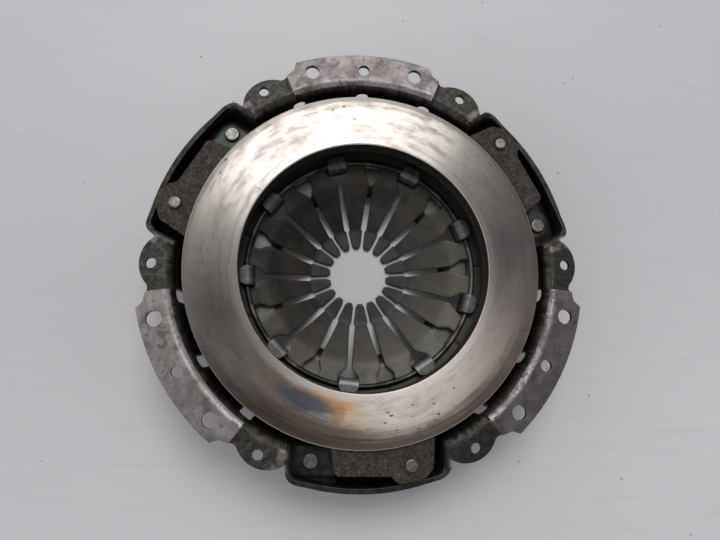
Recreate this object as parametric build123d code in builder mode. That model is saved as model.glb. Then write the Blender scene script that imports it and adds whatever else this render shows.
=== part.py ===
"""Clutch cover assembly for a 200 mm class single-plate dry clutch.

A pressed steel cover carries a diaphragm spring between two wire rings. Nine tabs of the cover, bent
over the upper ring, hold the stack. The spring presses on a cast pressure plate, which hangs on three
packs of tangential strap springs. Lengths are in millimetres and angles in degrees.

Frame: origin at the centre of the flywheel mounting plane, +Z towards the flywheel. Three equal sectors
of mounting flange are centred on 90, 210 and 330 degrees, three pockets on 30, 150 and 270.
"""

from build123d import *
import os
from math import cos, hypot, radians, sin, tan

os.makedirs("parts", exist_ok=True)

# General
SHEET = 2.8  # cover sheet
TOUCH = 0.02  # left between pieces that bear on one another
PIN_SLACK = 0.05  # radial, between a rivet's shank and its holes
SECTORS = (90, 210, 330)
POCKETS = (30, 150, 270)
FINGERS = 18
TABS = 9
FIRST_TAB = 22.6  # direction of the first tab

# Mounting flange
RIM_R = 125.6
SECTOR_HALF = 18.6
SECTOR_END = 22.3  # where the flange steps down to the ears
SCALLOP_R = 121.5  # the rim's end is notched in to this, and then to the next
SCALLOP_FOOT_R = 119.2
EAR_DROP = 2.8
EAR_ANGLE = 30.0  # from the sector's middle to each ear's
EAR_R = 123.4
EAR_ROUND = 18.0
EAR_SPAN = 84.0  # of the ear's round edge
EAR_HEEL_R = 116.0
STEP_RUN = 1.9  # half the length of the slope from sector to ear
STEP_LEAN = 0.7
BOLT_CIRCLE_R = 117.6
BOLT_HALF_ANGLE = 15.0
BOLT_HOLE_R = 4.2
DOWEL_CIRCLE_R = 116.0
DOWEL_HOLE_R = 3.3
EAR_HOLE_CIRCLE_R = 117.3
EAR_HOLE_R = 2.9

# Cover dish, inside surfaces
WALL_TOP_R = 106.4
WALL_FOOT_R = 103.6
FLANGE_BEND = 5.0
FLOOR_BEND = 6.5
LIP_BEND = 8.0
MOUTH_R = 51.5
LIP_STRAIGHT = 0.7
FLANGE_INNER_R = 104.0
VENT_WIDTH = 8.0
VENT_TOP_Z = -9.0
VENT_INNER_R = 94.0
VENT_SPREAD = 21.0

# Tabs and fulcrum
TAB_TOP_Z = -23.5
TAB_FACE_R = 64.3
TAB_END_R = 72.6
TAB_WIDTH = 11.6
TAB_BEND = 1.2
TAB_TIP_ROUND = 4.0
NOTCH_WIDTH = 16.0
WIRE = 3.2

# Diaphragm spring
SPRING_SHEET = 2.4
SPRING_R = 84.0
CONE_ANGLE = 13.0
FINGER_BEND_R = 56.0
FINGER_FLAT_R = 31.0
FINGER_BEND = 12.0
FINGER_FLAT_BEND = 8.0
FINGER_TIP_R = 18.1
FINGER_TIP_TOP_Z = -47.5
SLOT_HALF = 0.9  # between the flat ends of the fingers
SLOT_WIDE_HALF = 1.9
SLOT_WAIST_HALF = 1.35
SLOT_WAIST_R = 53.0
TIP_FLARE = 2.6
WINDOW_FOOT_R = 58.5
WINDOW_SHOULDER_R = 63.6
WINDOW_TOP_R = 70.0
WINDOW_HALF = 5.2
TAB_SLACK = 0.4  # beside each tab, in the windows that the tabs pass through

# Pressure plate
FACE_Z = -4.1
FACE_R = 101.5
BORE_R = 71.6
EDGE_THICK = 8.0
PLATE_THICK = 12.0
RIDGE_R = 81.0
RIDGE_WIDTH = 5.0
RIDGE_DRAFT = 1.0
EDGE_STEP = 9.0  # the thin outer edge runs into the thick ring over this
FACE_CHAMFER = 0.6
LUG_FACE_DROP = 2.5
LUG_THICK = 5.0

# Pockets of the cover, and the straps in them
POCKET_R = 121.8
POCKET_CORNER = 5.0
POCKET_HALF = 41.6
POCKET_INNER_R = 95.0
POCKET_RIM_Z = -9.5
RIM_SLOPE_TOP_R = 110.8  # the pocket's end walls are trimmed down to the rim between these two
RIM_SLOPE_FOOT_R = 120.2
MOUTH_BEND = 3.4  # where an ear's sheet turns down into the pocket
POCKET_FLOOR_Z = -29.0
PAD_EDGE = -17.0
ACCESS_HOLE_R = 6.5
STRAP_R = 112.2
COVER_RIVET_ANGLE = -16.0
LUG_RIVET_ANGLE = 12.0
LEAVES = 3
LEAF = 0.7
STRAP_WIDTH = 16.0
STRAP_END = 9.0  # past each rivet
STRAP_CORNER = 4.0
STRAP_CLAMPED = 8.0  # flat length each side of a rivet
LEAF_STEP = 1.2  # each lower leaf is longer by this
STRAP_TOP_Z = -18.0  # at the cover rivet
STRAP_RISE = 2.6  # to the lug rivet, with the plate pushed out
SHANK_R = 2.8
COVER_RIVET_HEAD_R = 4.4
LUG_RIVET_HEAD_R = 3.5
RIVET_HEAD = 2.0
HEAD_ROUND = 0.9
LUG_BOSS_R = 8.0
LUG_ROOT_R = 96.0
LUG_EDGE_R = 115.0
LUG_START = -20.8  # across the plain end of the lug
LUG_EYE = 9.8  # how far the eye round the rivet stands out beyond it

# Worked out from the above
SLOPE = tan(radians(CONE_ANGLE))
FULCRUM_R = hypot(TAB_FACE_R + SHEET + WIRE / 2 + PIN_SLACK, TAB_WIDTH / 2)  # the rings clear the flat tabs
UPPER_WIRE_Z = TAB_TOP_Z - SHEET - TOUCH - WIRE / 2
WIRE_REACH = (WIRE / 2 + TOUCH) / cos(radians(CONE_ANGLE))
SPRING_RISE = SPRING_SHEET / cos(radians(CONE_ANGLE))
SPRING_TOP_Z = UPPER_WIRE_Z - WIRE_REACH  # upper surface, over the fulcrum
LOWER_WIRE_Z = SPRING_TOP_Z - SPRING_RISE - WIRE_REACH
FLOOR_Z = LOWER_WIRE_Z - WIRE / 2 - TOUCH
PAD_Z = STRAP_TOP_Z - LEAVES * (LEAF + TOUCH)
LUG_FOOT_Z = STRAP_TOP_Z + STRAP_RISE + TOUCH
STRAP_TURN = (COVER_RIVET_ANGLE + LUG_RIVET_ANGLE) / 2
STRAP_SPREAD = (LUG_RIVET_ANGLE - COVER_RIVET_ANGLE) / 2
RIVET_HALF_SPAN = STRAP_R * sin(radians(STRAP_SPREAD))
STRAP_AXIS_R = STRAP_R * cos(radians(STRAP_SPREAD))
TAB_ANGLES = [FIRST_TAB + i * 360 / TABS for i in range(TABS)]


def plan(angle, z=0.0):
    """Plane seen from above, local x outwards along the direction and local y counter-clockwise."""
    a = radians(angle)
    return Plane(origin=(0, 0, z), x_dir=(cos(a), sin(a), 0), z_dir=(0, 0, 1))


def radial(angle=0.0):
    """Upright plane through the axis, local x outwards and local y up."""
    a = radians(angle)
    return Plane(origin=(0, 0, 0), x_dir=(cos(a), sin(a), 0), z_dir=(sin(a), -cos(a), 0))


def facing(angle, r):
    """Upright plane across the direction at radius r, local x counter-clockwise and local y up."""
    a = radians(angle)
    return Plane(origin=(r * cos(a), r * sin(a), 0), x_dir=(-sin(a), cos(a), 0), z_dir=(cos(a), sin(a), 0))


def polar(r, angle):
    return (r * cos(radians(angle)), r * sin(radians(angle)))


def finish(part, name):
    part.label = name
    export_step(part, f"parts/{name}.step")


def dish(flange_z):
    """The cover's round pressing as a solid of revolution, with its flange at the given height."""
    corners = [
        (RIM_R + 4, flange_z),
        (WALL_TOP_R, flange_z),
        (WALL_FOOT_R, FLOOR_Z),
        (MOUTH_R, FLOOR_Z),
        (MOUTH_R, FLOOR_Z - LIP_BEND - LIP_STRAIGHT),
    ]
    with BuildPart() as shell:
        with BuildSketch(radial()):
            with BuildLine():
                FilletPolyline(*corners, radius=[FLANGE_BEND, FLOOR_BEND, LIP_BEND])
                offset(amount=SHEET, side=Side.LEFT)
            make_face()
        revolve(axis=Axis.Z)
    return shell.part


def inside_of_dish():
    """The room inside the dish, used to keep the pockets' walls out of it."""
    with BuildPart() as room:
        with BuildSketch(radial()):
            Polygon(
                (0, 1),
                (WALL_TOP_R, 1),
                (WALL_TOP_R, 0),
                (WALL_FOOT_R, FLOOR_Z),
                (0, FLOOR_Z),
                align=None,
            )
        revolve(axis=Axis.Z)
    return room.part


def wedges(centres, half, outer=RIM_R + 6, low=-12.0, high=1.0):
    """Slices of cake about the axis, one per direction."""
    reach = outer / cos(radians(half))
    with BuildPart() as slices:
        for centre in centres:
            with BuildSketch(plan(centre, low)):
                Polygon((0, 0), polar(reach, -half), polar(reach, half), align=None)
            extrude(amount=high - low)
    return slices.part


def flange_outline():
    """A prism over the flange's trimmed edge: sector arcs with scalloped ends, and the round ears."""
    heel_angle = EAR_ANGLE + 7.5
    end_angle = EAR_ANGLE + 10.0
    ear_turn = EAR_ANGLE - EAR_SPAN / 2
    with BuildPart() as prism:
        for centre in SECTORS:
            with BuildSketch(plan(centre, -12.0)):
                with BuildLine():
                    arc = CenterArc((0, 0), RIM_R, -SECTOR_HALF, 2 * SECTOR_HALF)
                    ear = CenterArc(polar(EAR_R - EAR_ROUND, EAR_ANGLE), EAR_ROUND, ear_turn, EAR_SPAN)
                    scallop = FilletPolyline(
                        arc @ 1,
                        polar(SCALLOP_R, SECTOR_HALF + 1.2),
                        polar(SCALLOP_FOOT_R, SECTOR_END + 0.7),
                        ear @ 0,
                        radius=[1.5, 2.0],
                    )
                    heel = Polyline(ear @ 1, polar(EAR_HEEL_R, heel_angle), polar(FLANGE_INNER_R, end_angle))
                    for edge in (ear, scallop, heel):
                        mirror(edge, about=Plane.XZ)
                    Line(heel @ 1, (0, 0))
                    Line((0, 0), polar(FLANGE_INNER_R, -end_angle))
                make_face()
            extrude(amount=14.0)
    return prism.part


def step_ramps():
    """The sloped steps of the sheet between each flange sector and the ears beside it."""
    flat = 3 * STEP_RUN
    with BuildPart() as ramps:
        for centre in SECTORS:
            for side in (-1, 1):
                with BuildSketch(facing(centre + side * SECTOR_END, WALL_TOP_R + 3.0)):
                    Polygon(
                        (-side * flat, 0),
                        (-side * STEP_RUN, 0),
                        (side * STEP_RUN, -EAR_DROP),
                        (side * flat, -EAR_DROP),
                        (side * flat, -EAR_DROP - SHEET),
                        (side * (STEP_RUN - STEP_LEAN), -EAR_DROP - SHEET),
                        (-side * (STEP_RUN + STEP_LEAN), -SHEET),
                        (-side * flat, -SHEET),
                        align=None,
                    )
                extrude(amount=12.0)
    return ramps.part


def pocket_block(angle, grow):
    """The room of one pocket, shallow over the strap's pad and deep under the lug, grown all round."""
    half = POCKET_HALF + grow
    outer = POCKET_R + grow
    inner = POCKET_INNER_R
    deep_edge = PAD_EDGE - grow
    floors = ((PAD_Z - grow, -half), (POCKET_FLOOR_Z - grow, deep_edge))
    with BuildPart() as block:
        for floor, edge in floors:
            with BuildSketch(plan(angle, floor)) as outline:
                Circle(outer)
                with Locations(((outer + inner) / 2, (half + edge) / 2)):
                    Rectangle(outer - inner, half - edge, mode=Mode.INTERSECT)
                fillet(outline.vertices().group_by(Axis.Y)[-1].sort_by(Axis.X)[-1], POCKET_CORNER + grow)
                if edge == -half:
                    fillet(outline.vertices().group_by(Axis.Y)[0].sort_by(Axis.X)[-1], POCKET_CORNER + grow)
            extrude(amount=1.0 - floor)
    return block.part


def pocket_skins():
    """Walls and floors of the three pockets, trimmed to their rims, outside the dish's own wall."""
    with BuildPart() as skins:
        for angle in POCKETS:
            add(pocket_block(angle, SHEET))
        for angle in POCKETS:
            add(pocket_block(angle, 0.0), mode=Mode.SUBTRACT)
            with BuildSketch(radial(angle)):
                Polygon(
                    (POCKET_INNER_R - 5, -EAR_DROP),
                    (RIM_SLOPE_TOP_R, -EAR_DROP),
                    (RIM_SLOPE_FOOT_R, POCKET_RIM_Z),
                    (RIM_R + 14, POCKET_RIM_Z),
                    (RIM_R + 14, 5),
                    (POCKET_INNER_R - 5, 5),
                    align=None,
                )
            extrude(amount=60, both=True, mode=Mode.SUBTRACT)
        add(inside_of_dish(), mode=Mode.SUBTRACT)
    return skins.part


def mouth_bends():
    """What is cut from the ears to round the sheet over into each pocket, at both its ends."""
    with BuildPart() as corners:
        for centre in POCKETS:
            for side in (-1, 1):
                wall_y = side * POCKET_HALF
                axis = (wall_y + side * MOUTH_BEND, -EAR_DROP - MOUTH_BEND)
                with BuildSketch(facing(centre, POCKET_INNER_R)):
                    with BuildLine():
                        turn = 90 if side > 0 else 0
                        bend = CenterArc(axis, MOUTH_BEND, turn, 90)
                        start, end = (bend @ 0, bend @ 1) if side > 0 else (bend @ 1, bend @ 0)
                        Polyline(
                            start,
                            (axis[0], -EAR_DROP + 1.0),
                            (wall_y - side, -EAR_DROP + 1.0),
                            (wall_y - side, axis[1]),
                            end,
                        )
                    make_face()
                extrude(amount=RIM_R - POCKET_INNER_R)
    return corners.part


def tab(angle):
    """One tab: up from the cover's floor, through the spring, and out over the upper ring."""
    back_r = TAB_FACE_R + SHEET
    under_z = TAB_TOP_Z - SHEET
    path = [(TAB_END_R + 1.5, FLOOR_Z), (back_r, FLOOR_Z), (back_r, under_z), (TAB_END_R, under_z)]
    with BuildPart() as piece:
        with BuildSketch(radial(angle)):
            with BuildLine():
                FilletPolyline(*path, radius=TAB_BEND)
                offset(amount=SHEET, side=Side.LEFT)
            make_face()
        extrude(amount=TAB_WIDTH / 2, both=True)
        fillet(piece.edges().filter_by(Axis.Z).group_by(Axis.Z)[-1], TAB_TIP_ROUND)
    return piece.part


def make_cover():
    ear_half = 60.0 - SECTOR_END
    with BuildPart() as ears:
        add(dish(-EAR_DROP))
        add(wedges(POCKETS, ear_half), mode=Mode.INTERSECT)
    with BuildPart() as trimmings:
        with BuildSketch(Plane.XY.offset(-12.0)):
            Circle(RIM_R + 8)
        extrude(amount=14.0)
        add(flange_outline(), mode=Mode.SUBTRACT)
    with BuildPart() as cover:
        add(dish(0.0))
        add(wedges(POCKETS, ear_half), mode=Mode.SUBTRACT)
        add(ears.part)
        add(step_ramps())
        add(trimmings.part, mode=Mode.SUBTRACT)
        for angle in POCKETS:
            add(pocket_block(angle, 0.0), mode=Mode.SUBTRACT)
        add(pocket_skins())
        for cutter in (mouth_bends(), vents(), cover_holes(), tab_notches()):
            add(cutter, mode=Mode.SUBTRACT)
        for angle in TAB_ANGLES:
            add(tab(angle))
    finish(cover.part, "cover")


def vents():
    """Upright slots through the dish's wall and into the corner of its floor."""
    with BuildPart() as slots:
        for centre in SECTORS:
            for turn in (-VENT_SPREAD, 0, VENT_SPREAD):
                with BuildSketch(facing(centre + turn, VENT_INNER_R)):
                    with Locations((0, VENT_TOP_Z - VENT_WIDTH / 2)):
                        Circle(VENT_WIDTH / 2)
                    with Locations((0, VENT_TOP_Z - VENT_WIDTH / 2 - 20)):
                        Rectangle(VENT_WIDTH, 40)
                extrude(amount=20.0)
    return slots.part


def cover_holes():
    """The cover's holes for bolts, dowels, balance weights and strap rivets, as pins to cut with."""
    with BuildPart() as pins:
        for centre in SECTORS:
            with BuildSketch(plan(centre, -8.0)):
                with Locations((DOWEL_CIRCLE_R, 0)):
                    Circle(DOWEL_HOLE_R)
                bolts = [polar(BOLT_CIRCLE_R, side * BOLT_HALF_ANGLE) for side in (-1, 1)]
                with Locations(*bolts):
                    Circle(BOLT_HOLE_R)
                with Locations(polar(EAR_HOLE_CIRCLE_R, EAR_ANGLE), polar(EAR_HOLE_CIRCLE_R, -EAR_ANGLE)):
                    Circle(EAR_HOLE_R)
            extrude(amount=10.0)
        for centre in POCKETS:
            with BuildSketch(plan(centre, PAD_Z - SHEET - 1)):
                with Locations(polar(STRAP_R, COVER_RIVET_ANGLE)):
                    Circle(SHANK_R + PIN_SLACK)
            extrude(amount=SHEET + 2)
            with BuildSketch(plan(centre, POCKET_FLOOR_Z - SHEET - 1)):
                with Locations(polar(STRAP_R, LUG_RIVET_ANGLE)):
                    Circle(ACCESS_HOLE_R)
            extrude(amount=SHEET + 2)
    return pins.part


def tab_notches():
    """Room cut from the cover's floor and lip at each tab, with a relief each side of its root."""
    relief_r = TAB_FACE_R + 2
    bend_r = TAB_FACE_R + TAB_BEND + SHEET
    inner_r = MOUTH_R - 12.0
    with BuildPart() as notches:
        for angle in TAB_ANGLES:
            with BuildSketch(plan(angle, FLOOR_Z + 1.0)):
                with Locations(((relief_r + inner_r) / 2, 0)):
                    RectangleRounded(relief_r - inner_r, NOTCH_WIDTH, 2.0)
                with Locations(((bend_r + inner_r) / 2, 0)):
                    Rectangle(bend_r - inner_r, TAB_WIDTH)
            extrude(amount=-14.0)
    return notches.part


def lug(centre):
    """One lug of the pressure plate, with the boss that its strap is riveted to."""
    top = FACE_Z - LUG_FACE_DROP
    under = top - LUG_THICK
    eye_x, eye_y = polar(STRAP_R, LUG_RIVET_ANGLE)
    with BuildPart() as piece:
        with BuildSketch(plan(centre, under)):
            with BuildLine():
                FilletPolyline(
                    (LUG_ROOT_R, LUG_START),
                    (LUG_EDGE_R - 0.7, LUG_START + 2.6),
                    (LUG_EDGE_R + 0.4, eye_y - 11.3),
                    (eye_x + LUG_EYE, eye_y - 6.9),
                    (eye_x + LUG_EYE - 2.0, eye_y + 7.3),
                    (eye_x + 2.0, eye_y + 12.3),
                    (LUG_ROOT_R - 2.0, eye_y + 13.6),
                    radius=[0, 3.5, 2.0, 3.0, 5.0, 4.0, 0],
                    close=True,
                )
            make_face()
        extrude(amount=LUG_THICK)
        with BuildSketch(plan(centre, LUG_FOOT_Z)):
            with Locations(polar(STRAP_R, LUG_RIVET_ANGLE)):
                Circle(LUG_BOSS_R)
        extrude(amount=under - LUG_FOOT_Z)
        with BuildSketch(plan(centre, LUG_FOOT_Z - 1)):
            with Locations(polar(STRAP_R, LUG_RIVET_ANGLE)):
                Circle(SHANK_R + PIN_SLACK)
        extrude(amount=top - LUG_FOOT_Z + 2, mode=Mode.SUBTRACT)
    return piece.part


def make_plate():
    """The cast pressure plate: machined ring, round-nosed spring ridge behind it, and three lugs."""
    back = FACE_Z - PLATE_THICK
    nose = RIDGE_WIDTH / 2
    nose_z = SPRING_TOP_Z + (RIDGE_R - FULCRUM_R) * SLOPE + (nose + TOUCH) / cos(radians(CONE_ANGLE))
    with BuildPart() as plate:
        with BuildSketch(radial()):
            Polygon(
                (BORE_R, FACE_Z),
                (FACE_R, FACE_Z),
                (FACE_R, FACE_Z - EDGE_THICK),
                (FACE_R - EDGE_STEP / 2, FACE_Z - EDGE_THICK),
                (FACE_R - EDGE_STEP, back),
                (RIDGE_R + nose + RIDGE_DRAFT, back),
                (RIDGE_R + nose, nose_z),
                (RIDGE_R - nose, nose_z),
                (RIDGE_R - nose - RIDGE_DRAFT, back),
                (BORE_R, back + RIDGE_DRAFT),
                align=None,
            )
            with Locations((RIDGE_R, nose_z)):
                Circle(nose)
        revolve(axis=Axis.Z)
        chamfer(plate.edges().filter_by(GeomType.CIRCLE).group_by(Axis.Z)[-1], FACE_CHAMFER)
        for centre in POCKETS:
            add(lug(centre))
    finish(plate.part, "pressure_plate")


def finger_gap(angle, window_half):
    """The slot between two fingers, opening into a window near the fulcrum, as a block to cut with."""
    inner_r = FINGER_TIP_R - 2
    with BuildPart() as gap:
        with BuildSketch(plan(angle, FINGER_TIP_TOP_Z - 5)):
            with BuildLine():
                side = FilletPolyline(
                    (inner_r, TIP_FLARE),
                    (FINGER_TIP_R + 2.2, SLOT_HALF),
                    (FINGER_FLAT_R - 0.8, SLOT_HALF),
                    (FINGER_FLAT_R, SLOT_WIDE_HALF),
                    (SLOT_WAIST_R - 9.0, SLOT_WIDE_HALF - 0.1),
                    (SLOT_WAIST_R, SLOT_WAIST_HALF),
                    (WINDOW_FOOT_R, SLOT_WAIST_HALF + 0.15),
                    (WINDOW_SHOULDER_R, window_half),
                    (WINDOW_TOP_R, window_half),
                    (WINDOW_TOP_R, 0.0),
                    radius=[2.0, 0.4, 0.4, 10.0, 10.0, 2.5, 2.5, 2.5],
                )
                mirror(side, about=Plane.XZ)
                Line((inner_r, TIP_FLARE), (inner_r, -TIP_FLARE))
            make_face()
        extrude(amount=30.0)
    return gap.part


def make_spring():
    """The diaphragm spring: a coned ring whose fingers bend down to flat ends."""
    outer_z = SPRING_TOP_Z + (SPRING_R - FULCRUM_R) * SLOPE
    bend_z = SPRING_TOP_Z - (FULCRUM_R - FINGER_BEND_R) * SLOPE
    path = [
        (SPRING_R, outer_z),
        (FINGER_BEND_R, bend_z),
        (FINGER_FLAT_R, FINGER_TIP_TOP_Z),
        (FINGER_TIP_R, FINGER_TIP_TOP_Z),
    ]
    with BuildPart() as spring:
        with BuildSketch(radial()):
            with BuildLine():
                FilletPolyline(*path, radius=[FINGER_BEND, FINGER_FLAT_BEND])
                offset(amount=SPRING_SHEET, side=Side.LEFT)
            make_face()
        revolve(axis=Axis.Z)
        for i in range(FINGERS):
            window_half = TAB_WIDTH / 2 + TAB_SLACK if i % 2 == 0 else WINDOW_HALF
            add(finger_gap(FIRST_TAB + i * 360 / FINGERS, window_half), mode=Mode.SUBTRACT)
    finish(spring.part, "diaphragm_spring")


def make_rings():
    """The two closed wire rings that the spring rocks on."""
    for name, z in (("fulcrum_ring_upper", UPPER_WIRE_Z), ("fulcrum_ring_lower", LOWER_WIRE_Z)):
        with BuildPart() as ring:
            with BuildSketch(radial()):
                with Locations((FULCRUM_R, z)):
                    Circle(WIRE / 2)
            revolve(axis=Axis.Z)
        finish(ring.part, name)


def make_leaf(centre, layer, name):
    """One leaf of a strap pack: flat where it is clamped, with two opposite arcs between."""
    top = STRAP_TOP_Z - layer * (LEAF + TOUCH)
    end = RIVET_HALF_SPAN + STRAP_END - (LEAVES - 1 - layer) * LEAF_STEP
    flat = RIVET_HALF_SPAN - STRAP_CLAMPED
    direction = centre + STRAP_TURN
    with BuildPart() as leaf:
        with BuildSketch(facing(direction, STRAP_AXIS_R - STRAP_WIDTH / 2)):
            with BuildLine():
                Line((-end, top), (-flat, top))
                rise = TangentArc((-flat, top), (0, top + STRAP_RISE / 2), tangent=(1, 0))
                TangentArc(rise @ 1, (flat, top + STRAP_RISE), tangent=rise % 1)
                Line((flat, top + STRAP_RISE), (end, top + STRAP_RISE))
                offset(amount=LEAF, side=Side.RIGHT)
            make_face()
        extrude(amount=STRAP_WIDTH)
        fillet(leaf.edges().filter_by(Axis.Z), STRAP_CORNER)
        with BuildSketch(plan(direction, top + STRAP_RISE + 1)):
            with Locations((STRAP_AXIS_R, RIVET_HALF_SPAN), (STRAP_AXIS_R, -RIVET_HALF_SPAN)):
                Circle(SHANK_R + PIN_SLACK)
        extrude(amount=-8.0, mode=Mode.SUBTRACT)
    finish(leaf.part, name)


def make_rivet(angle, low, high, head_r, name):
    """A rivet with a low rounded head above and below the stack that it grips."""
    x, y = polar(STRAP_R, angle)
    under_head = high + TOUCH
    over_foot = low - TOUCH
    with BuildPart() as rivet:
        with BuildSketch(Plane(origin=(x, y, 0), x_dir=(1, 0, 0), z_dir=(0, -1, 0))):
            with BuildLine():
                FilletPolyline(
                    (0, under_head + RIVET_HEAD),
                    (head_r, under_head + RIVET_HEAD),
                    (head_r, under_head),
                    (SHANK_R, under_head),
                    (SHANK_R, over_foot),
                    (head_r, over_foot),
                    (head_r, over_foot - RIVET_HEAD),
                    (0, over_foot - RIVET_HEAD),
                    radius=[0, HEAD_ROUND, 0, 0, 0, 0, HEAD_ROUND, 0],
                    close=True,
                )
            make_face()
        revolve(axis=Axis((x, y, 0), (0, 0, 1)))
    finish(rivet.part, name)


def make_straps():
    """Three packs of leaves, each riveted to a pad of the cover and to a lug of the plate."""
    pack = LEAVES * (LEAF + TOUCH) - TOUCH
    for number, centre in enumerate(POCKETS, start=1):
        for layer in range(LEAVES):
            make_leaf(centre, layer, f"strap_{number}_leaf_{layer + 1}")
        cover_side = centre + COVER_RIVET_ANGLE
        lug_side = centre + LUG_RIVET_ANGLE
        strap_lug_z = STRAP_TOP_Z + STRAP_RISE
        make_rivet(cover_side, PAD_Z - SHEET, STRAP_TOP_Z, COVER_RIVET_HEAD_R, f"cover_rivet_{number}")
        lug_top = FACE_Z - LUG_FACE_DROP
        make_rivet(lug_side, strap_lug_z - pack, lug_top, LUG_RIVET_HEAD_R, f"lug_rivet_{number}")


make_cover()
make_plate()
make_spring()
make_rings()
make_straps()
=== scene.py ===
"""Dresses a packed clutch cover assembly piece by piece, on a plain floor under soft light.

The frame is the part's own: origin at the centre of the flywheel mounting plane, +Z towards the
flywheel, metres. Three flange sectors are centred on 90, 210 and 330 degrees and three strap pockets on
30, 150 and 270. Finishes work in millimetres on Object coordinates.
"""

import bmesh
import bpy
import numpy as np
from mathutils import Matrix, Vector


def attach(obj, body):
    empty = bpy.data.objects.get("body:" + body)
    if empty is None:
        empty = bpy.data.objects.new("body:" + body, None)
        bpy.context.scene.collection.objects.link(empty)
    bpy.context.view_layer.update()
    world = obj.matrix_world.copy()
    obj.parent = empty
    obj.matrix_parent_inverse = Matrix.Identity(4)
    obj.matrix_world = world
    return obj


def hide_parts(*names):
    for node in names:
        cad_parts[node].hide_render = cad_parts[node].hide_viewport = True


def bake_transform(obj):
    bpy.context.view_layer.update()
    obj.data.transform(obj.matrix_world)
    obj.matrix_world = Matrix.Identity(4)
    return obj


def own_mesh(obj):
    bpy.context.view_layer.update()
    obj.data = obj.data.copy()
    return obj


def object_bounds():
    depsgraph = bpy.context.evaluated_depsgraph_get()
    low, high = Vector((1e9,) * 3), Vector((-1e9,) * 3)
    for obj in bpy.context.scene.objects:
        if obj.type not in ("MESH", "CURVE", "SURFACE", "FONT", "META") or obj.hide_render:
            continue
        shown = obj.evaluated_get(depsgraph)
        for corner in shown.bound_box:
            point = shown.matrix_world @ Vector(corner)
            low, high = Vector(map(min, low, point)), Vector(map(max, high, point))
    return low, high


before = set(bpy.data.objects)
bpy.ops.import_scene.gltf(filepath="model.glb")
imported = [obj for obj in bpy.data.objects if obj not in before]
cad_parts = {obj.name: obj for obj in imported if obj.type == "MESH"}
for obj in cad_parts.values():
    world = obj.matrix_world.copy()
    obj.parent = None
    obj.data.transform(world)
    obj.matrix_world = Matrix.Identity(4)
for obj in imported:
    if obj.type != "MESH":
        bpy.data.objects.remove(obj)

bl_info = {
    "name": "Clutch Cover Assembly",
    "version": (1, 0, 0),
    "blender": (4, 5, 0),
    "location": "View3D > Sidebar > Clutch Cover",
    "description": "Dresses a diaphragm spring clutch cover, piece by piece, and sets its stage",
    "category": "Add Mesh",
}

MM = 0.001
WELD = 0.002  # points nearer than this, in millimetres, become one
CAD_BOX = [list(corner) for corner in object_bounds()]

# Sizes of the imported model's solids, in millimetres
FACE_Z = -4.1  # the turned face
FACE_R = 101.5
BORE_R = 71.6
SPRING_R = 84.0
SPRING_SHEET = 2.4
CONE_ANGLE = np.radians(13.0)
SPRING_SLOPE = np.tan(CONE_ANGLE)
FULCRUM_R = 68.994
SPRING_TOP_Z = -29.583  # over the fulcrum
FINGER_BEND_R = 56.0
FINGER_FLAT_R = 31.0
FINGER_BEND = 12.0
FINGER_FLAT_BEND = 8.0
FINGER_TIP_R = 18.1
FINGER_TIP_TOP_Z = -47.5
FINGER_ROOT_R = 67.4  # fingers inside, rim outside
WINDOW_TOP_R = 70.0
WINDOW_HALF = 5.2
TAB_WINDOW_HALF = 6.2
FIRST_TAB = 22.6  # degrees
FINGERS = 18
FINGER_ANGLE = 360 / FINGERS
LEAVES = 3
LEAF = 0.7
LEAF_STEP = 1.2  # each lower leaf is longer by this
TOUCH = 0.02  # left between leaves
STRAP_TOP_Z = -18.0
STRAP_RISE = 2.6
STRAP_WIDTH = 16.0
STRAP_CORNER = 4.0
STRAP_END = 9.0
STRAP_CLAMPED = 8.0
STRAP_AXIS_R = 108.867
RIVET_SPAN = 27.144
RIVET_HOLE_R = 2.85
STRAP_FLAT = RIVET_SPAN - STRAP_CLAMPED
STRAP_TURN = -2.0  # degrees
SECTORS = (90, 210, 330)
POCKETS = (30, 150, 270)

# How the new pieces are drawn; lengths are in millimetres
STAMPED_EDGE = 0.35  # radius of the spring's edges
MID_ROUND = 0.3  # how deep the middle of a rounded edge lies, as a share of its radius
CAP = ((0.2, 0.93), (0.28, 0.75), (0.28, 0))  # rows that round an end: how far out, share of thickness
FLAT_CAP = ((0, 0),)
SHARP = np.radians(40.0)  # an edge with a larger angle is not shaded smooth
LEAN_R = 76.0  # from here outwards the spring's edge comes to stand square to its cone
ROW_GAP = 1.6  # most that lies between two rows of the spring
RIM_ROWS = (72.5, 75.5, 78.5, 81.5)  # from the window's top to the edge
OVER_POINTS = 9  # across a finger
ARC_POINTS = 6  # round each corner of a line
LEAF_EDGE = 0.12  # radius of a leaf's edges
FAN_SHARES = (0, 0.25, 0.6)  # rows between the rivet hole and the edge
FAN_RAYS = 60
CROSSINGS = 13  # points across a leaf
LEAF_ROWS = 37  # along its bent middle
SLOPE_STEP = 0.01  # each way, to find a slope
TINY = 1e-9  # keeps a quotient finite

# Camera and lights
SENSOR_WIDTH = 36  # millimetres
NEAREST = 0.01  # metres
PANEL_DISTANCE = 1.6  # metres
SKY_COLOUR = (0.97, 0.98, 1.0, 1)
# A direction, and the cosines to it where a step in the light begins and ends, with its strength there
SKY_STEPS = (
    ((0, 0, 1), (0.45, 0.9, 1.0, 0.24)),
    ((-0.9, 0.3, 0.3), (-0.35, 0.55, 0.5, 1.15)),
)


# Shapes -------------------------------


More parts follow.
